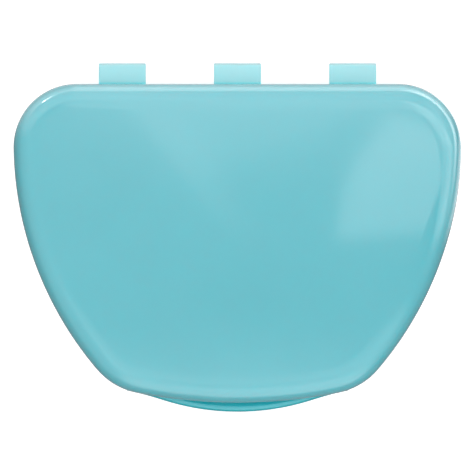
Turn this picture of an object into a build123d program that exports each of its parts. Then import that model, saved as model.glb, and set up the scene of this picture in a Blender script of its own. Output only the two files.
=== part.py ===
"""Orthodontic retainer case: a lidded tray on three living-hinge straps, moulded as one piece.

Millimetres. +X is the case's right, +Y is the hinge side and +Z is up. The origin is at the middle
of the footprint, on the table. The lid is closed.
"""

from build123d import *
import os
from math import atan2, degrees, hypot, radians, sqrt, tan

# Plan: the outline of the closed lid at its rim. Depths are measured forwards from the back edge.
case_width = 80.0
lid_depth = 57.0
back_corner_r = 11.3
side_r = 62.5
side_depth = 10.5  # where the side arcs are widest
front_r = 90.0
front_corner_r = 12.5

# Heights
base_height = 14.5  # table to parting plane
lid_height = 10.5  # parting plane to the crown of the lid
rim_band = 2.0  # height of the upright band at each rim
rim_gap = 0.05

# Walls
wall = 1.75
floor_thickness = 1.75
base_inset = 0.15  # the base's rim is this much smaller than the lid's
base_draft = 5.0  # degrees
lid_draft = 2.0  # degrees
base_edge_r = 3.5
lid_edge_r = 3.5
crown_r = 1000.0  # the lid's top is a shallow piece of this sphere

# Lapped joint between the rims: a tongue on the base inside a thinned rim on the lid
lid_rim_thickness = 0.8
lap_clearance = 0.35
tongue_height = 1.8
tongue_headroom = 0.2

# Snap: a bead on the tongue above a rib in the lid's rim, both at the middle of the front
snap_proud = 0.14
snap_height = 0.7
snap_length = 18.0
bead_bottom = 0.95  # above the parting plane
rib_bottom = 0.15

# Thumb lip
lip_r = 42.0
lip_proud = 1.6
lip_thickness = 1.4
lip_half_length = 14.0  # the crescent is trimmed here, short of its feather-thin tips
lip_top_round = 0.5
lip_bottom_round = 0.3
lip_back_cut = 3.0  # behind the lid's front edge, past the ends of the crescent

# Hinge straps
strap_width = 8.4
strap_pitch = 20.6
strap_reach = 3.7  # how far the folded strap stands out behind the lid
strap_thickness = 0.4
fold_inner_r = 0.2

# Underside and floor
foot_inset = 7.5  # from the case's outline to the edge of the recessed panel
foot_recess = 0.5
gate_r = 1.2
gate_height = 0.3
ejector_r = 2.5
ejector_depth = 0.1
ejector_spacing_x = 38.0
ejector_spacing_y = 26.0

# Worked out
total_depth = strap_reach + lid_depth + lip_proud
back_y = total_depth / 2 - strap_reach
front_y = back_y - lid_depth
middle_y = (back_y + front_y) / 2
lid_z = base_height + rim_gap
top_z = base_height + lid_height
front_centre_y = front_y + front_r
fold_outer_r = fold_inner_r + strap_thickness
fold_y = back_y + strap_reach - fold_outer_r
sides = {"left": -1, "centre": 0, "right": 1}


def case_outline(inset):
    """The case's outline, drawn in by inset. Every arc keeps its centre, so the offset is exact."""
    side_x = case_width / 2 - side_r
    side_y = back_y - side_depth
    # The back corner touches the straight back edge and the side arc from inside.
    corner_y = back_y - back_corner_r
    back_x = side_x + sqrt((side_r - back_corner_r) ** 2 - (corner_y - side_y) ** 2)
    # The front corner's centre is where circles about the side's and the front's centres cross.
    side_reach = side_r - front_corner_r
    front_reach = front_r - front_corner_r
    span = hypot(side_x, front_centre_y - side_y)
    along = (side_reach**2 - front_reach**2 + span**2) / (2 * span)
    across = sqrt(side_reach**2 - along**2)
    toward_x = -side_x / span
    toward_y = (front_centre_y - side_y) / span
    front_x = side_x + along * toward_x + across * toward_y
    front_corner_y = side_y + along * toward_y - across * toward_x
    # Angles of the tangent points, anticlockwise from +X
    back_end = degrees(atan2(corner_y - side_y, back_x - side_x))
    side_end = degrees(atan2(front_corner_y - side_y, front_x - side_x))
    front_end = degrees(atan2(front_corner_y - front_centre_y, front_x))
    with BuildSketch() as outline:
        with BuildLine():
            Line((0, back_y - inset), (back_x, back_y - inset))
            CenterArc((back_x, corner_y), back_corner_r - inset, 90, back_end - 90)
            CenterArc((side_x, side_y), side_r - inset, back_end, side_end - back_end)
            CenterArc(
                (front_x, front_corner_y), front_corner_r - inset, side_end, front_end - side_end
            )
            CenterArc((0, front_centre_y), front_r - inset, front_end, -90 - front_end)
            mirror(about=Plane.YZ)
        make_face()
    return outline.sketch


def band(inset, bottom, top):
    """An upright solid of the case's outline."""
    with BuildPart() as block:
        with BuildSketch(Plane.XY.offset(bottom)):
            add(case_outline(inset))
        extrude(amount=top - bottom)
    return block.part


def drafted(inset, near_z, far_z, draft):
    """A solid of the case's outline whose wall leans in by draft degrees from near_z to far_z."""
    with BuildPart() as block:
        with BuildSketch(Plane.XY.offset(near_z)):
            add(case_outline(inset))
        with BuildSketch(Plane.XY.offset(far_z)):
            add(case_outline(inset + abs(far_z - near_z) * tan(radians(draft))))
        loft(ruled=True)
    return block.part


def lid_block(inset):
    """The lid's form, drawn in by inset on every side: upright band, drafted skirt, domed top."""
    with BuildPart() as block:
        add(drafted(inset, lid_z + rim_band, top_z + 1, lid_draft))
        with Locations((0, middle_y, top_z - crown_r)):
            Sphere(crown_r - inset, rotation=(90, 0, 0), mode=Mode.INTERSECT)
        fillet(block.faces().sort_by(Axis.Z)[-1].edges(), lid_edge_r - inset)
        add(band(inset, lid_z, lid_z + rim_band))
    return block.part


def base_block(inset, bottom):
    """The base's form, drawn in by inset: upright band, drafted wall, rounded bottom edge."""
    with BuildPart() as block:
        add(drafted(base_inset + inset, base_height - rim_band, bottom, base_draft))
        fillet(block.faces().sort_by(Axis.Z)[0].edges(), base_edge_r - inset)
        add(band(base_inset + inset, base_height - rim_band, base_height))
    return block.part


def snap_strip(face_r, crest_r, bottom):
    """A low rounded strip along the front arc, standing off a face of radius face_r."""
    half_angle = degrees(snap_length / 2 / face_r)
    start = radians(-90 - half_angle)
    across = Vector(1, 0, 0).rotate(Axis.Z, degrees(start))
    profile_plane = Plane(
        origin=(0, front_centre_y, base_height), x_dir=across, z_dir=across.cross(Vector(0, 0, 1))
    )
    with BuildPart() as strip:
        with BuildSketch(profile_plane):
            with BuildLine():
                low = (face_r, bottom)
                high = (face_r, bottom + snap_height)
                ThreePointArc(low, (crest_r, bottom + snap_height / 2), high)
                Line(high, low)
            make_face()
        revolve(axis=Axis((0, front_centre_y, 0), (0, 0, 1)), revolution_arc=2 * half_angle)
    return strip.part


os.makedirs("parts", exist_ok=True)

# Base tray: the lower half, with the tongue standing up inside its rim
with BuildPart() as base_tray:
    add(base_block(0, 0))
    add(base_block(wall - base_inset, floor_thickness), mode=Mode.SUBTRACT)
    tongue_inset = lid_rim_thickness + lap_clearance
    add(band(tongue_inset, base_height - rim_band / 2, base_height + tongue_height))
    add(
        band(wall, base_height - rim_band, base_height + tongue_height),
        mode=Mode.SUBTRACT,
    )
    # Recessed panel under the floor, which leaves a foot all round, and the gate's stub in it
    add(band(foot_inset, 0, foot_recess), mode=Mode.SUBTRACT)
    with BuildSketch(Plane.XY.offset(foot_recess)):
        with Locations((0, middle_y)):
            Circle(gate_r)
    extrude(amount=-gate_height)
    # Ejector marks in the floor
    with BuildSketch(Plane.XY.offset(floor_thickness)):
        with Locations((0, middle_y)):
            with GridLocations(ejector_spacing_x, ejector_spacing_y, 2, 2):
                Circle(ejector_r)
    extrude(amount=-ejector_depth, mode=Mode.SUBTRACT)
base_tray.part.label = "base_tray"
export_step(base_tray.part, "parts/base_tray.step")

# Snap bead on the outside of the tongue
tongue_r = front_r - lid_rim_thickness - lap_clearance
with BuildPart() as base_snap_bead:
    add(snap_strip(tongue_r, tongue_r + snap_proud, bead_bottom))
base_snap_bead.part.label = "base_snap_bead"
export_step(base_snap_bead.part, "parts/base_snap_bead.step")

# Lid shell: the upper half, thinned inside its rim to pass over the tongue
with BuildPart() as lid_shell:
    add(lid_block(0))
    add(lid_block(wall), mode=Mode.SUBTRACT)
    lap_top = base_height + tongue_height + tongue_headroom
    add(band(lid_rim_thickness, lid_z, lap_top), mode=Mode.SUBTRACT)
lid_shell.part.label = "lid_shell"
export_step(lid_shell.part, "parts/lid_shell.step")

# Snap rib inside the lid's rim, under the bead
rib_r = front_r - lid_rim_thickness
with BuildPart() as lid_snap_rib:
    add(snap_strip(rib_r, rib_r - snap_proud, rib_bottom))
lid_snap_rib.part.label = "lid_snap_rib"
export_step(lid_snap_rib.part, "parts/lid_snap_rib.step")

# Thumb lip: what is left of a disc outside the lid's front wall
with BuildPart() as lid_thumb_lip:
    with BuildSketch(Plane.XY.offset(lid_z)):
        with Locations((0, front_y - lip_proud + lip_r)):
            Circle(lip_r)
    extrude(amount=lip_thickness)
    fillet(lid_thumb_lip.faces().sort_by(Axis.Z)[-1].edges(), lip_top_round)
    fillet(lid_thumb_lip.faces().sort_by(Axis.Z)[0].edges(), lip_bottom_round)
    split(bisect_by=Plane.XZ.offset(-front_y - lip_back_cut), keep=Keep.TOP)
    split(bisect_by=Plane.YZ.offset(lip_half_length), keep=Keep.BOTTOM)
    split(bisect_by=Plane.YZ.offset(-lip_half_length), keep=Keep.TOP)
    add(band(0, lid_z, lid_z + rim_band), mode=Mode.SUBTRACT)
lid_thumb_lip.part.label = "lid_thumb_lip"
export_step(lid_thumb_lip.part, "parts/lid_thumb_lip.step")

# Hinge straps: a leaf on each half and the folded stretch between them
for side, place in sides.items():
    strap_x = place * strap_pitch

    base_root_y = back_y - base_inset
    with BuildPart() as base_leaf:
        with BuildSketch(Plane.XY.offset(base_height - fold_outer_r)):
            with Locations((strap_x, (base_root_y + fold_y) / 2)):
                Rectangle(strap_width, fold_y - base_root_y)
        extrude(amount=strap_thickness)
    base_leaf.part.label = "hinge_base_leaf_" + side
    export_step(base_leaf.part, "parts/hinge_base_leaf_" + side + ".step")

    with BuildPart() as lid_leaf:
        with BuildSketch(Plane.XY.offset(base_height + fold_inner_r)):
            with Locations((strap_x, (back_y + fold_y) / 2)):
                Rectangle(strap_width, fold_y - back_y)
        extrude(amount=strap_thickness)
    lid_leaf.part.label = "hinge_lid_leaf_" + side
    export_step(lid_leaf.part, "parts/hinge_lid_leaf_" + side + ".step")

    with BuildPart() as fold:
        with BuildSketch(Plane.YZ.offset(strap_x)):
            with Locations((fold_y, base_height)):
                Circle(fold_outer_r)
                Circle(fold_inner_r, mode=Mode.SUBTRACT)
                with Locations((-fold_outer_r / 2, 0)):
                    Rectangle(fold_outer_r, 2 * fold_outer_r, mode=Mode.SUBTRACT)
        extrude(amount=strap_width / 2, both=True)
    fold.part.label = "hinge_fold_" + side
    export_step(fold.part, "parts/hinge_fold_" + side + ".step")
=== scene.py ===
"""Orthodontic retainer case in glossy aqua polypropylene, seen from straight above on a pale floor.

Every piece is one area of a single moulding. Lengths are in metres, written as millimetres times MM.
"""

import math

import bpy
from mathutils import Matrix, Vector


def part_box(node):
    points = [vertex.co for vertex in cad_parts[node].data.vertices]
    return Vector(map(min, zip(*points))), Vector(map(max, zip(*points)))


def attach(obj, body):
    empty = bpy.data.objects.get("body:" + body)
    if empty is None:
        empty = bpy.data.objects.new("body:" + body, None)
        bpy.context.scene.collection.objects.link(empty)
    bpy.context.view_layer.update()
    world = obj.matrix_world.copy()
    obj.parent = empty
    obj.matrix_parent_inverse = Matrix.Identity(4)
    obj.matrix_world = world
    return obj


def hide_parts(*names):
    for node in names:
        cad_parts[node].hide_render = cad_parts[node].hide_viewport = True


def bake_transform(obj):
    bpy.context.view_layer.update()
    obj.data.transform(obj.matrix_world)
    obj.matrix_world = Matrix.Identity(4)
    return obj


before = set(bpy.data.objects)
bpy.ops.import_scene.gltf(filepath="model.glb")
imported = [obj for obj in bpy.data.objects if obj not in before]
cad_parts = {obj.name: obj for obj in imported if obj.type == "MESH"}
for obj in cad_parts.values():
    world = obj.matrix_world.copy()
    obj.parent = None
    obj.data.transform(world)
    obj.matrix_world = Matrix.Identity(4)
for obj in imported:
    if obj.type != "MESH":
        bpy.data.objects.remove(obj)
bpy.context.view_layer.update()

MM = 0.001

# The closed case's plan, as arcs. Depths are measured forwards from the straight back edge.
CASE_WIDTH = 80.0 * MM
LID_DEPTH = 57.0 * MM
BACK_CORNER_R = 11.3 * MM
SIDE_R = 62.5 * MM
SIDE_DEPTH = 10.5 * MM
FRONT_R = 90.0 * MM
FRONT_CORNER_R = 12.5 * MM

# Heights and walls
BASE_HEIGHT = 14.5 * MM
LID_HEIGHT = 10.5 * MM
RIM_BAND = 2.0 * MM
RIM_GAP = 0.05 * MM
WALL = 1.75 * MM
FLOOR = 1.75 * MM
BASE_INSET = 0.15 * MM
BASE_LEAN = math.tan(math.radians(5.0))
LID_LEAN = math.tan(math.radians(2.0))
EDGE_R = 3.5 * MM
INNER_EDGE_R = EDGE_R - WALL
CROWN_R = 1000.0 * MM

# Lapped rims
LID_RIM = 0.8 * MM
LAP_CLEARANCE = 0.35 * MM
TONGUE_HEIGHT = 1.8 * MM
LAP_HEADROOM = 0.2 * MM
EDGE_BREAK = 0.15 * MM
SOFT_BREAK = 0.25 * MM

# Underside and floor
FOOT_INSET = 7.5 * MM
FOOT_RECESS = 0.5 * MM
GATE_R = 1.2 * MM
GATE_WAIST_R = 0.9 * GATE_R
GATE_TIP_R = 0.5 * GATE_R
GATE_HEIGHT = 0.3 * MM
EJECTOR_R = 2.5 * MM
EJECTOR_DEPTH = 0.1 * MM
EJECTOR_X = 19.0 * MM
EJECTOR_Y = 13.0 * MM
EJECTOR_SIDES = 64

# Thumb lip
LIP_R = 42.0 * MM
LIP_PROUD = 1.6 * MM
LIP_THICKNESS = 1.4 * MM
LIP_REACH = 20.0 * MM
LIP_BLEND = 0.45 * MM
LIP_HEEL = 0.25 * MM
LIP_TURN = 0.56  # how much of a half-turn its rounded edge takes
LIP_CREST = 0.9 * MM
LIP_DIP = 0.3 * MM
LIP_ROOT = 0.4 * MM
LIP_FADE = 6  # power by which its ends fade into the wall
LIP_COLUMNS = 96
LIP_STEPS = 14

# Hinge straps
STRAP_PITCH = 20.6 * MM
STRAP_WIDTH = 8.4 * MM
STRAP_THICKNESS = 0.4 * MM
STRAP_REACH = 3.7 * MM
FOLD_INNER_R = 0.2 * MM
STRAP_EDGE_R = 0.16 * MM
STRAP_ROOT = 0.5 * MM
LEAF_STEPS = 8
FOLD_STEPS = 28

# Mesh fineness
STEP = 0.9 * MM
CORNER_STEPS = 28
ARC_STEPS = 10
SHELL_REACH = 8.0 * MM  # how far in the walls' rings go before the rings shrink to the middle
SHELL_STEPS = 5  # rings in the inner half of that reach
CORE_R = 2.2 * MM
CORE_RINGS = 14
SLOPE_SPAN = 0.1 * MM  # over which the dome's slope is measured
SHELL_CREASE = math.radians(38)
STRAP_CREASE = math.radians(60)

back_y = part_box("lid_shell")[1].y
front_y = back_y - LID_DEPTH
middle_y = (back_y + front_y) / 2
lid_z = BASE_HEIGHT + RIM_GAP
top_z = BASE_HEIGHT + LID_HEIGHT
lid_band_z = lid_z + RIM_BAND
base_band_z = BASE_HEIGHT - RIM_BAND
middle = Vector((0, middle_y, 0))


def outline_stations():
    """Points round the case's outline and the outward direction at each, anticlockwise."""
    side_x = CASE_WIDTH / 2 - SIDE_R
    side_y = back_y - SIDE_DEPTH
    corner_y = back_y - BACK_CORNER_R
    back_x = side_x + math.sqrt((SIDE_R - BACK_CORNER_R) ** 2 - (corner_y - side_y) ** 2)
    front_centre_y = front_y + FRONT_R
    side_reach = SIDE_R - FRONT_CORNER_R
    front_reach = FRONT_R - FRONT_CORNER_R
    span = math.hypot(side_x, front_centre_y - side_y)
    along = (side_reach**2 - front_reach**2 + span**2) / (2 * span)
    across = math.sqrt(side_reach**2 - along**2)
    toward = Vector((-side_x, front_centre_y - side_y)) / span
    front_corner = Vector((side_x, side_y)) + along * toward + across * Vector((toward.y, -toward.x))
    back_end = math.atan2(corner_y - side_y, back_x - side_x)
    side_end = math.atan2(front_corner.y - side_y, front_corner.x - side_x)
    front_end = math.atan2(front_corner.y - front_centre_y, front_corner.x)
    half = []
    straight = int(back_x / STEP)
    for i in range(straight):
        half.append((Vector((back_x * i / straight, back_y)), Vector((0, 1))))
    arcs = [
        (Vector((back_x, corner_y)), BACK_CORNER_R, math.pi / 2, back_end, CORNER_STEPS),
        (Vector((side_x, side_y)), SIDE_R, back_end, side_end, 0),
        (front_corner, FRONT_CORNER_R, side_end, front_end, 0),
        (Vector((0, front_centre_y)), FRONT_R, front_end, -math.pi / 2, 0),
    ]
    for centre, radius, start, end, steps in arcs:
        steps = steps or int(abs(end - start) * radius / STEP)
        for i in range(steps):
            angle = start + (end - start) * i / steps
            out = Vector((math.cos(angle), math.sin(angle)))
            half.append((centre + radius * out, out))
    front = (Vector((0, front_y)), Vector((0, -1)))
    mirrored = [(Vector((-p.x, p.y)), Vector((-n.x, n.y))) for p, n in half[:0:-1]]
    return half + [front] + mirrored


STATIONS = outline_stations()


def rounded(points):
    """(inset, height) points of a profile whose corners, given as (inset, height, radius), are arcs."""
    path = [Vector(points[0][:2])]
    for before, here, after in zip(points, points[1:], points[2:]):
        corner, radius = Vector(here[:2]), here[2]
        if radius == 0:
            path.append(corner)
            continue
        a = (Vector(before[:2]) - corner).normalized()
        b = (Vector(after[:2]) - corner).normalized()
        half_angle = a.angle(b) / 2
        centre = corner + (a + b).normalized() * (radius / math.sin(half_angle))
        setback = radius / math.tan(half_angle)
        first, last = corner + a * setback - centre, corner + b * setback - centre
        for k in range(ARC_STEPS + 1):
            t = k / ARC_STEPS
            # Spherical interpolation keeps the points evenly spaced on the arc.
            theta = first.angle(last)
            spoke = first * math.sin((1 - t) * theta) + last * math.sin(t * theta)
            path.append(centre + spoke / math.sin(theta))
    path.append(Vector(points[-1][:2]))
    return path


def dome_z(x, y, thickness):
    """Height of the lid's domed top, or of its underside at that thickness."""
    sag = CROWN_R - math.sqrt(CROWN_R**2 - x**2 - (y - middle_y) ** 2)
    return top_z - thickness - sag


def new_object(name, verts, faces):
    mesh = bpy.data.meshes.new(name)
    mesh.from_pydata([tuple(v) for v in verts], [], faces)
    mesh.validate()
    mesh.shade_smooth()
    piece = bpy.data.objects.new(name, mesh)
    bpy.context.scene.collection.objects.link(piece)
    return piece


def shrinking_rings(ring, height):
    """Rings from an outline-shaped one inwards to a small circle about the middle."""
    rings = []
    for k in range(1, CORE_RINGS + 1):
        share = k / CORE_RINGS
        loop = []
        for p in ring:
            flat = Vector((p.x, p.y, 0)) - middle
            near = flat.normalized() * CORE_R
            at = middle + flat.lerp(near, share)
            loop.append(Vector((at.x, at.y, height(at.x, at.y))))
        rings.append(loop)
    return rings


def shell_mesh(name, profile_at, first_height, last_height, first_steps=()):
    """A closed shell: walls from a profile at each station, closed by shrinking rings at both ends.

    first_steps are the (radius, height) of any further circles in the middle of the first end.
    """
    columns = []
    for p, n in STATIONS:
        columns.append([Vector((*(p - n * s), z)) for s, z in profile_at(p, n)])
    rings = [list(ring) for ring in zip(*columns)]
    opening = shrinking_rings(rings[0], first_height)
    closing = shrinking_rings(rings[-1], last_height)
    circle = opening[-1]
    for radius, height in first_steps:
        loop = []
        for p in circle:
            flat = (Vector((p.x, p.y, 0)) - middle).normalized() * radius + middle
            loop.append(Vector((flat.x, flat.y, height)))
        opening.append(loop)
    rows = opening[::-1] + rings + closing
    count = len(STATIONS)
    verts = [p for row in rows for p in row]
    hub = len(verts)
    verts.append(Vector((0, middle_y, rows[0][0].z)))
    verts.append(Vector((0, middle_y, rows[-1][0].z)))
    last = (len(rows) - 1) * count
    faces = []
    for i in range(count):
        j = (i + 1) % count
        faces.append((hub, i, j))
        for r in range(len(rows) - 1):
            a, b = r * count, (r + 1) * count
            faces.append((a + i, b + i, b + j, a + j))
        faces.append((hub + 1, last + j, last + i))
    return new_object(name, verts, faces)


def dome_line(p, n, inset, thickness):
    """The domed top near the edge, as a line in the station's own plane: (height at inset 0, slope)."""
    at, deeper = p - n * inset, p - n * (inset + SLOPE_SPAN)
    z = dome_z(at.x, at.y, thickness)
    slope = (dome_z(deeper.x, deeper.y, thickness) - z) / SLOPE_SPAN
    return z - slope * inset, slope


def lid_profile(p, n):
    """The lid's section at a station, from its top round the rim to its underside."""

    def meeting(wall_inset, thickness, inset):
        """Where the leaning wall would meet the dome if the edge weren't rounded."""
        z0, slope = dome_line(p, n, inset, thickness)
        s = (wall_inset + (z0 - lid_band_z) * LID_LEAN) / (1 - slope * LID_LEAN)
        return s, z0 + slope * s

    outer = meeting(0, 0, EDGE_R)
    inner = meeting(WALL, WALL, WALL + INNER_EDGE_R)
    lap_top = BASE_HEIGHT + TONGUE_HEIGHT + LAP_HEADROOM
    path = rounded(
        [
            (SHELL_REACH / 2, outer[1] + (SHELL_REACH / 2 - outer[0]) * dome_line(p, n, EDGE_R, 0)[1]),
            (*outer, EDGE_R),
            (0, lid_band_z, 0),
            (0, lid_z, EDGE_BREAK),
            (LID_RIM, lid_z, EDGE_BREAK),
            (LID_RIM, lap_top, EDGE_BREAK),
            (WALL, lap_top, EDGE_BREAK),
            (WALL, lid_band_z + RIM_GAP, 0),
            (*inner, INNER_EDGE_R),
            (SHELL_REACH / 2 + WALL, inner[1]),
        ]
    )
    outside, inside = [], []
    for k in range(SHELL_STEPS):
        s = SHELL_REACH - (SHELL_REACH / 2) * k / SHELL_STEPS
        at = p - n * s
        outside.append((s, dome_z(at.x, at.y, 0)))
        inside.append((s, dome_z(at.x, at.y, WALL)))
    return outside + [tuple(v) for v in path[1:-1]] + inside[::-1]


def base_profile(p, n):
    """The tray's section, the same at every station, from its underside round the rim to its floor."""
    wall_foot = BASE_INSET + base_band_z * BASE_LEAN
    inner_foot = WALL + (base_band_z - FLOOR) * BASE_LEAN
    tongue = LID_RIM + LAP_CLEARANCE
    tongue_z = BASE_HEIGHT + TONGUE_HEIGHT
    path = rounded(
        [
            (SHELL_REACH, FOOT_RECESS),
            (FOOT_INSET, FOOT_RECESS, EDGE_BREAK),
            (FOOT_INSET, 0, SOFT_BREAK),
            (wall_foot, 0, EDGE_R),
            (BASE_INSET, base_band_z, 0),
            (BASE_INSET, BASE_HEIGHT, EDGE_BREAK),
            (tongue, BASE_HEIGHT, EDGE_BREAK),
            (tongue, tongue_z, EDGE_BREAK),
            (WALL, tongue_z, SOFT_BREAK),
            (WALL, base_band_z, 0),
            (inner_foot, FLOOR, INNER_EDGE_R),
            (SHELL_REACH, FLOOR),
        ]
    )
    return [tuple(v) for v in path]


# ---------------------------------------------------------------- materials

PLASTIC_IOR = 1.55
SCATTER_DEPTH = 1.5 * MM
SCATTER_COLOUR = (0.1, 1.0, 1.0)  # red light hardly passes through the pigment
PIGMENT_SCALE, PIGMENT_DETAIL = 38.0, 3.0  # noise cells per metre, and octaves
HAZE_SCALE, HAZE_DETAIL = 160.0, 4.0
SKIN_SCALE, SKIN_DETAIL = 900.0, 2.0
SKIN_STRENGTH = 0.25
DULLEST, GLOSSIEST = 1.2, 0.85  # shares of a plastic's roughness
STRAP_SPECULAR = 0.25


def plastic(name, dark, light, roughness, subsurface, bump_height):
    """Moulded plastic: pigment that varies softly, a slightly uneven gloss and a faint moulded skin."""
    material = bpy.data.materials.new(name)
    material.use_nodes = True
    nodes, links = material.node_tree.nodes, material.node_tree.links
    shader = nodes["Principled BSDF"]
    shader.inputs["IOR"].default_value = PLASTIC_IOR
    shader.inputs["Subsurface Weight"].default_value = subsurface
    shader.inputs["Subsurface Radius"].default_value = SCATTER_COLOUR
    shader.inputs["Subsurface Scale"].default_value = SCATTER_DEPTH
    place = nodes.new("ShaderNodeTexCoord")

    def noise(scale, detail):
        texture = nodes.new("ShaderNodeTexNoise")
        texture.inputs["Scale"].default_value = scale
        texture.inputs["Detail"].default_value = detail
        links.new(place.outputs["Object"], texture.inputs["Vector"])
        return texture.outputs["Fac"]

    pigment = nodes.new("ShaderNodeValToRGB")
    pigment.color_ramp.elements[0].position = 0.3
    pigment.color_ramp.elements[0].color = (*dark, 1)
    pigment.color_ramp.elements[1].position = 0.7
    pigment.color_ramp.elements[1].color = (*light, 1)
    links.new(noise(PIGMENT_SCALE, PIGMENT_DETAIL), pigment.inputs["Fac"])
    links.new(pigment.outputs["Color"], shader.inputs["Base Color"])

    gloss = nodes.new("ShaderNodeMapRange")
    gloss.inputs["To Min"].default_value = roughness * GLOSSIEST
    gloss.inputs["To Max"].default_value = roughness * DULLEST
    links.new(noise(HAZE_SCALE, HAZE_DETAIL), gloss.inputs["Value"])
    links.new(gloss.outputs["Result"], shader.inputs["Roughness"])

    bump = nodes.new("ShaderNodeBump")
    bump.inputs["Strength"].default_value = SKIN_STRENGTH
    bump.inputs["Distance"].default_value = bump_height
    links.new(noise(SKIN_SCALE, SKIN_DETAIL), bump.inputs["Height"])
    links.new(bump.outputs["Normal"], shader.inputs["Normal"])
    return material


def painted_shade_tint(material, near, far, colour):
    """Turns the pigment towards a colour, from fully at one distance back (near) to not at all (far)."""
    nodes, links = material.node_tree.nodes, material.node_tree.links
    shader = nodes["Principled BSDF"]
    pigment = shader.inputs["Base Color"].links[0].from_socket
    place = nodes.new("ShaderNodeTexCoord")
    split = nodes.new("ShaderNodeSeparateXYZ")
    links.new(place.outputs["Object"], split.inputs[0])
    share = nodes.new("ShaderNodeMapRange")
    share.inputs["From Min"].default_value = near
    share.inputs["From Max"].default_value = far
    share.inputs["To Min"].default_value = 1.0
    share.inputs["To Max"].default_value = 0.0
    links.new(split.outputs["Y"], share.inputs["Value"])
    mix = nodes.new("ShaderNodeMix")
    mix.data_type = "RGBA"
    links.new(share.outputs["Result"], mix.inputs["Factor"])
    links.new(pigment, mix.inputs["A"])
    mix.inputs["B"].default_value = (*colour, 1)
    links.new(mix.outputs["Result"], shader.inputs["Base Color"])


def dress(piece, material):
    piece.data.materials.clear()
    piece.data.materials.append(material)


shell_plastic = plastic(
    "aqua_gloss",
    dark=(0.124, 0.455, 0.515),
    light=(0.132, 0.475, 0.537),
    roughness=0.045,
    subsurface=0.6,
    bump_height=0.0002 * MM,
)
# The lip's copy of the plastic is darker and has almost no red: painted shade for the lip lying in the lid's
# shadow under its front edge.
lip_painted_shade_plastic = plastic(
    "aqua_painted_shade",
    dark=(0.012, 0.4, 0.46),
    light=(0.016, 0.42, 0.48),
    roughness=0.15,
    subsurface=0.6,
    bump_height=0.0002 * MM,
)
# The straps' copy of the plastic is much paler. The strip is thin, and its pale colour is painted light
# standing in for the floor's light showing through it.
strap_plastic = plastic(
    "aqua_thin_painted_backlight",
    dark=(0.35, 0.67, 0.71),
    light=(0.38, 0.7, 0.74),
    roughness=0.45,
    subsurface=0.3,
    bump_height=0.0005 * MM,
)
strap_plastic.node_tree.nodes["Principled BSDF"].inputs["Specular IOR Level"].default_value = STRAP_SPECULAR
# Painted shade on each strap: darker and deeper in colour where it meets the shells, for the shade in that
# crease, and greyer round its fold, for the fold turning away from the light.
strap_end = back_y + STRAP_REACH
painted_shade_tint(strap_plastic, near=back_y + 0.1 * MM, far=back_y + 0.45 * MM, colour=(0.19, 0.7, 0.74))
painted_shade_tint(strap_plastic, near=strap_end - 0.05 * MM, far=strap_end - 0.5 * MM, colour=(0.36, 0.52, 0.55))

# ---------------------------------------------------------------- shells


def lid_outside(x, y):
    return dome_z(x, y, 0)


def lid_inside(x, y):
    return dome_z(x, y, WALL)


def flat_at(height):
    return lambda x, y: height


lid = shell_mesh("lid_moulding", lid_profile, lid_outside, lid_inside)
dress(lid, shell_plastic)
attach(lid, "lid")
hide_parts("lid_shell")

gate_z = FOOT_RECESS - GATE_HEIGHT
gate = [(GATE_R, FOOT_RECESS), (GATE_WAIST_R, gate_z), (GATE_TIP_R, gate_z)]
tray = shell_mesh("tray_moulding", base_profile, flat_at(FOOT_RECESS), flat_at(FLOOR), gate)


def cut_ejector_marks(piece):
    """Four shallow round marks that the ejector pins leave in the floor."""
    for side in (-1, 1):
        for end in (-1, 1):
            bpy.ops.mesh.primitive_cylinder_add(
                vertices=EJECTOR_SIDES,
                radius=EJECTOR_R,
                depth=2 * EJECTOR_DEPTH,
                location=(side * EJECTOR_X, middle_y + end * EJECTOR_Y, FLOOR),
            )
            pin = bpy.context.object
            cut = piece.modifiers.new("ejector", "BOOLEAN")
            cut.operation = "DIFFERENCE"
            cut.solver = "EXACT"
            cut.object = pin
            bpy.context.view_layer.update()
            result = bpy.data.meshes.new_from_object(
                piece.evaluated_get(bpy.context.evaluated_depsgraph_get())
            )
            piece.modifiers.clear()
            piece.data = result
            bpy.data.objects.remove(pin)


cut_ejector_marks(tray)
dress(tray, shell_plastic)
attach(tray, "base")
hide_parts("base_tray")

for shell in (lid, tray):
    shell.data.set_sharp_from_angle(angle=SHELL_CREASE)

# ---------------------------------------------------------------- thumb lip


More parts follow.
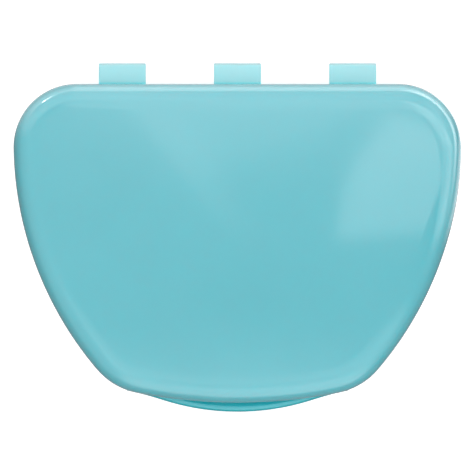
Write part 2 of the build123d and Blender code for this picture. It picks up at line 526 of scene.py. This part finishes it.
def lip_mesh():
    """A crescent that swells out of the lid's front wall and fades into it at both ends."""
    front_centre = Vector((0, front_y + FRONT_R))
    reach_angle = LIP_REACH / FRONT_R
    columns = []
    for i in range(LIP_COLUMNS + 1):
        u = -1 + 2 * i / LIP_COLUMNS
        angle = -math.pi / 2 + u * reach_angle
        out = Vector((math.cos(angle), math.sin(angle)))
        x = FRONT_R * math.sin(u * reach_angle)
        # How far the lip's own circle stands outside the lid's front arc, eased to nothing at the ends
        circle = LIP_PROUD - x * x * (1 / LIP_R - 1 / FRONT_R) / 2
        proud = (circle + math.hypot(circle, LIP_BLEND)) / 2
        fade = 1 - abs(u) ** LIP_FADE
        proud = (proud - LIP_BLEND**2 / (4 * LIP_PROUD)) * fade
        path = [Vector((-LIP_ROOT, lid_z)), Vector((proud - LIP_HEEL, lid_z))]
        for k in range(LIP_STEPS + 1):
            turn = math.pi * LIP_TURN * k / LIP_STEPS
            rise = LIP_HEEL + (LIP_THICKNESS - LIP_HEEL) * math.sin(turn)
            path.append(Vector((proud - LIP_CREST * (1 - math.cos(turn)), lid_z + rise)))
        path.append(Vector((-LIP_ROOT, lid_z + LIP_THICKNESS - LIP_DIP)))
        foot = front_centre + out * FRONT_R
        columns.append([Vector((*(foot + out * s), z)) for s, z in path])
    verts = [p for column in columns for p in column]
    rows = len(columns[0])
    faces = []
    for i in range(LIP_COLUMNS):
        for k in range(rows):
            m = (k + 1) % rows
            a, b = i * rows, (i + 1) * rows
            faces.append((a + k, b + k, b + m, a + m))
    faces.append(tuple(range(rows)))
    faces.append(tuple(LIP_COLUMNS * rows + k for k in reversed(range(rows))))
    return new_object("thumb_lip", verts, faces)


lip = lip_mesh()
lip.data.set_sharp_from_angle(angle=SHELL_CREASE)
dress(lip, lip_painted_shade_plastic)
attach(lip, "lid")
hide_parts("lid_thumb_lip")

# ---------------------------------------------------------------- hinge straps


def strap_mesh(name, strap_x):
    """One strip of plastic from the lid's rim out, round the fold and back to the base's rim."""
    mid_r = FOLD_INNER_R + STRAP_THICKNESS / 2
    root_y = back_y - STRAP_ROOT
    fold_y = back_y + STRAP_REACH - FOLD_INNER_R - STRAP_THICKNESS
    leaf = [root_y + (fold_y - root_y) * i / LEAF_STEPS for i in range(LEAF_STEPS)]
    centre_line = [(y, BASE_HEIGHT + mid_r, 0, 1) for y in leaf]
    for i in range(FOLD_STEPS + 1):
        angle = math.pi / 2 - math.pi * i / FOLD_STEPS
        out_y, out_z = math.cos(angle), math.sin(angle)
        centre_line.append((fold_y + mid_r * out_y, BASE_HEIGHT + mid_r * out_z, out_y, out_z))
    centre_line += [(y, BASE_HEIGHT - mid_r, 0, -1) for y in reversed(leaf)]
    half_w, half_t = STRAP_WIDTH / 2, STRAP_THICKNESS / 2
    section = rounded(
        [
            (0, half_t),
            (half_w, half_t, STRAP_EDGE_R),
            (half_w, -half_t, STRAP_EDGE_R),
            (-half_w, -half_t, STRAP_EDGE_R),
            (-half_w, half_t, STRAP_EDGE_R),
            (0, half_t),
        ]
    )[:-1]
    verts, faces = [], []
    for y, z, out_y, out_z in centre_line:
        for across, out in section:
            verts.append(Vector((strap_x + across, y + out * out_y, z + out * out_z)))
    rows = len(section)
    for i in range(len(centre_line) - 1):
        for k in range(rows):
            m = (k + 1) % rows
            a, b = i * rows, (i + 1) * rows
            faces.append((a + k, a + m, b + m, b + k))
    faces.append(tuple(reversed(range(rows))))
    faces.append(tuple((len(centre_line) - 1) * rows + k for k in range(rows)))
    return new_object(name, verts, faces)


for side, place in (("left", -1), ("centre", 0), ("right", 1)):
    strap = strap_mesh("strap_" + side, place * STRAP_PITCH)
    strap.data.set_sharp_from_angle(angle=STRAP_CREASE)
    dress(strap, strap_plastic)
    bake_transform(strap)
    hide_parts("hinge_base_leaf_" + side, "hinge_fold_" + side, "hinge_lid_leaf_" + side)

# ---------------------------------------------------------------- snap

# The bead and the rib stay as the CAD has them, in the shells' plastic.
for node in ("base_snap_bead", "lid_snap_rib"):
    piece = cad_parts[node]
    piece.data.materials.clear()
    piece.data.materials.append(shell_plastic)

# ---------------------------------------------------------------- floor

GROUND_REACH = 3.0
GROUND_Z = -0.05 * MM  # just clear of the foot, so that the two faces don't coincide


def pale_floor():
    corners = [(-GROUND_REACH, -GROUND_REACH), (GROUND_REACH, -GROUND_REACH)]
    corners += [(GROUND_REACH, GROUND_REACH), (-GROUND_REACH, GROUND_REACH)]
    mesh = bpy.data.meshes.new("floor")
    mesh.from_pydata([(x, y, GROUND_Z) for x, y in corners], [], [(0, 1, 2, 3)])
    piece = bpy.data.objects.new("floor", mesh)
    bpy.context.scene.collection.objects.link(piece)
    material = bpy.data.materials.new("pale_floor")
    material.use_nodes = True
    shader = material.node_tree.nodes["Principled BSDF"]
    shader.inputs["Base Color"].default_value = (0.93, 0.93, 0.93, 1)
    shader.inputs["Roughness"].default_value = 0.9
    shader.inputs["Specular IOR Level"].default_value = 0.1
    shader.inputs["Emission Color"].default_value = (1, 1, 1, 1)
    shader.inputs["Emission Strength"].default_value = 0.4
    piece.data.materials.append(material)
    piece.visible_glossy = False
    piece.visible_diffuse = False


pale_floor()

# ---------------------------------------------------------------- light


def heading(azimuth, elevation):
    """Direction towards an azimuth (0 is right, 90 is behind) and a height above the horizon, in degrees."""
    a, e = math.radians(azimuth), math.radians(elevation)
    return (math.cos(e) * math.cos(a), math.cos(e) * math.sin(a), math.sin(e))


def light_field(tree, sky, panes):
    """Strength of the light from each direction of the sky, which is the sum of its panes.

    A pane is a radiance and its edges, each (direction, low, high): the light fades in while the dot
    product with that direction goes from low to high.
    """
    nodes, links = tree.nodes, tree.links

    def ramp(along, low, high, top):
        dot = nodes.new("ShaderNodeVectorMath")
        dot.operation = "DOT_PRODUCT"
        dot.inputs[1].default_value = along
        links.new(sky, dot.inputs[0])
        step = nodes.new("ShaderNodeMapRange")
        step.interpolation_type = "SMOOTHSTEP"
        step.inputs["From Min"].default_value = low
        step.inputs["From Max"].default_value = high
        step.inputs["To Max"].default_value = top
        links.new(dot.outputs["Value"], step.inputs["Value"])
        return step.outputs["Result"]

    def combine(operation, one, other):
        node = nodes.new("ShaderNodeMath")
        node.operation = operation
        links.new(one, node.inputs[0])
        links.new(other, node.inputs[1])
        return node.outputs["Value"]

    total = None
    for radiance, edges in panes:
        pane = ramp(*edges[0], radiance)
        for edge in edges[1:]:
            pane = combine("MULTIPLY", pane, ramp(*edge, 1))
        total = pane if total is None else combine("ADD", total, pane)
    return total


def studio_world(panes):
    """The soft light that falls on everything."""
    world = bpy.data.worlds.new("studio")
    world.use_nodes = True
    tree = world.node_tree
    sky = tree.nodes.new("ShaderNodeTexCoord").outputs["Generated"]
    background = tree.nodes["Background"]
    background.inputs["Color"].default_value = (1, 1, 1, 1)
    tree.links.new(light_field(tree, sky, panes), background.inputs["Strength"])
    bpy.context.scene.world = world


def reflected_studio(panes):
    """A far sphere round the scene, seen only in the gloss: the softboxes and walls that it mirrors."""
    bpy.ops.mesh.primitive_ico_sphere_add(subdivisions=3, radius=REFLECTED_DISTANCE)
    sphere = bpy.context.object
    sphere.name = "reflected_studio"
    material = bpy.data.materials.new("studio_panes")
    material.use_nodes = True
    tree = material.node_tree
    tree.nodes.remove(tree.nodes["Principled BSDF"])
    place = tree.nodes.new("ShaderNodeTexCoord")
    towards = tree.nodes.new("ShaderNodeVectorMath")
    towards.operation = "NORMALIZE"
    tree.links.new(place.outputs["Object"], towards.inputs[0])
    glow = tree.nodes.new("ShaderNodeEmission")
    tree.links.new(light_field(tree, towards.outputs["Vector"], panes), glow.inputs["Strength"])
    tree.links.new(glow.outputs["Emission"], tree.nodes["Material Output"].inputs["Surface"])
    material.cycles.emission_sampling = "NONE"
    sphere.data.materials.append(material)
    sphere.visible_camera = False
    sphere.visible_diffuse = False
    sphere.visible_transmission = False
    sphere.visible_shadow = False


REFLECTED_DISTANCE = 80.0
UP, DOWN = (0, 0, 1), (0, 0, -1)
LEFT, RIGHT = (-1, 0, 0), (1, 0, 0)
BACK, FRONT = (0, 1, 0), (0, -1, 0)
EVERYWHERE = (UP, -2.0, -1.5)  # no dot product is so low, so the light is full in all directions
LOW_DOWN = (DOWN, -0.3, -0.05)
ABOVE_HORIZON = (UP, -0.1, 0.0)

overhead_light = [
    (2.4, [(UP, 0.5, 1.0)]),
    (0.35, [(BACK, 0.0, 1.0)]),
    (0.35, [(FRONT, 0.0, 1.0)]),
]
low_light = [
    (2.5, [(heading(100, 0), 0.1, 0.9), LOW_DOWN, ABOVE_HORIZON]),
    (0.8, [(heading(10, 0), 0.1, 0.9), LOW_DOWN, ABOVE_HORIZON]),
    (2.2, [(heading(-75, 0), 0.2, 0.9), LOW_DOWN, ABOVE_HORIZON]),
]

# The room, with a lighter wall on the left
room = [
    (0.3, [EVERYWHERE]),
    (0.7, [((-1, 0.4, 0), -0.2, 0.3), (UP, -0.15, 0.25)]),
]
softbox_behind = [
    (1.6, [(RIGHT, -0.14, -0.02), (LEFT, -1.0, -0.5), (BACK, 0.01, 0.085), (UP, -0.9, -0.2)]),
    (1.4, [(heading(130, 0), 0.15, 0.5), (LEFT, -0.02, 0.14), (BACK, 0.1, 0.4), (UP, -0.3, 0.3)]),
    (0.15, [(BACK, -0.03, 0.02), (UP, 0.6, 0.9)]),
]
softbox_in_front = [
    (
        1.35,
        [
            (LEFT, -1.0, -0.5),
            (RIGHT, -0.55, -0.2),
            (FRONT, 0.03, 0.08),
            ((-0.47, -0.88, 0), -0.04, 0.06),
            ((0.5, -0.87, 0), -0.1, 0.1),
            (UP, -0.2, 0.2),
        ],
    ),
    (0.9, [(heading(-84, 25), 0.75, 0.95)]),
]
# A long one over the right side, whose near end the lid mirrors
softbox_on_the_right = [
    (
        1.9,
        [
            ((0.811, -0.585, 0), 0.019, 0.027),
            ((0.987, -0.162, 0), 0.042, 0.049),
            ((-0.08, 0.997, 0), -0.0065, 0.0015),
            ((-0.3, -0.95, 0), -0.083, -0.077),
            (FRONT, -0.068, -0.058),
            (LEFT, -0.26, -0.2),
        ],
    ),
    (
        1.6,
        [
            ((0.45, 0.89, 0), 0.1, 0.135),
            (RIGHT, 0.08, 0.13),
            (FRONT, -0.38, -0.3),
            (LEFT, -0.98, -0.85),
            ((-0.45, -0.89, 0), -0.5, -0.42),
            ((0.25, 0.97, 0), -0.05, 0.05),
        ],
    ),
    (0.5, [(heading(0, 28), 0.88, 0.98), ((0.25, 0.97, 0), -0.05, 0.1)]),
]
faint_shapes_overhead = [
    (0.4, [((0.81, 0.587, 0), -0.008, 0.0), ((-0.39, 0.92, 0), 0.03, 0.038), (UP, 0.9, 0.98)]),
    (
        0.45,
        [
            ((0.81, 0.587, 0), -0.006, 0.0),
            ((-0.81, -0.587, 0), -0.02, -0.006),
            (BACK, 0.0, 0.01),
            (UP, 0.9, 0.98),
        ],
    ),
]
# Low down all along the back, and strongest on the right
glow_behind = [
    (0.9, [(heading(95, 0), 0.0, 0.5), (DOWN, 0.0, 0.4), (UP, -0.95, -0.75)]),
    (1.0, [(heading(20, 28), 0.75, 0.95)]),
    (0.7, [(heading(85, 0), 0.02, 0.16), (DOWN, 0.8, 0.97)]),
    (2.6, [(heading(108, 0), 0.45, 0.95), (UP, -0.65, -0.05), (DOWN, -0.24, -0.06)]),
    (6.3, [(heading(36, 0), 0.6, 0.95), (UP, -0.4, -0.02), (DOWN, -0.23, -0.06)]),
]
# Behind on the left, with the wall that it lights
lamp = [
    (2.0, [(heading(121, 10), 0.985, 0.998)]),
    (
        10.0,
        [
            (heading(127, 9), 0.975, 0.9997),
            (UP, 0.11, 0.14),
            (DOWN, -0.2, -0.17),
            (heading(37, 0), 0.0, 0.02),
        ],
    ),
    (70.0, [(heading(126.5, 9), 0.9992, 0.9998)]),
]

studio_world(overhead_light + low_light)
softboxes = softbox_behind + softbox_in_front + softbox_on_the_right
reflected_studio(room + softboxes + faint_shapes_overhead + glow_behind + lamp)

# ---------------------------------------------------------------- camera

CAMERA_DISTANCE = 1.5
CASE_SHARE = 0.942  # of the picture's width
SENSOR_WIDTH = 36.0
CLIP_END = 20.0

camera_data = bpy.data.cameras.new("camera")
camera_data.sensor_width = SENSOR_WIDTH
camera_data.lens = SENSOR_WIDTH * CAMERA_DISTANCE / (CASE_WIDTH / CASE_SHARE)
camera_data.clip_end = CLIP_END
camera = bpy.data.objects.new("camera", camera_data)
camera.location = (0, 0, BASE_HEIGHT + CAMERA_DISTANCE)
bpy.context.scene.collection.objects.link(camera)
bpy.context.scene.camera = camera
bpy.context.scene.view_settings.view_transform = "Standard"
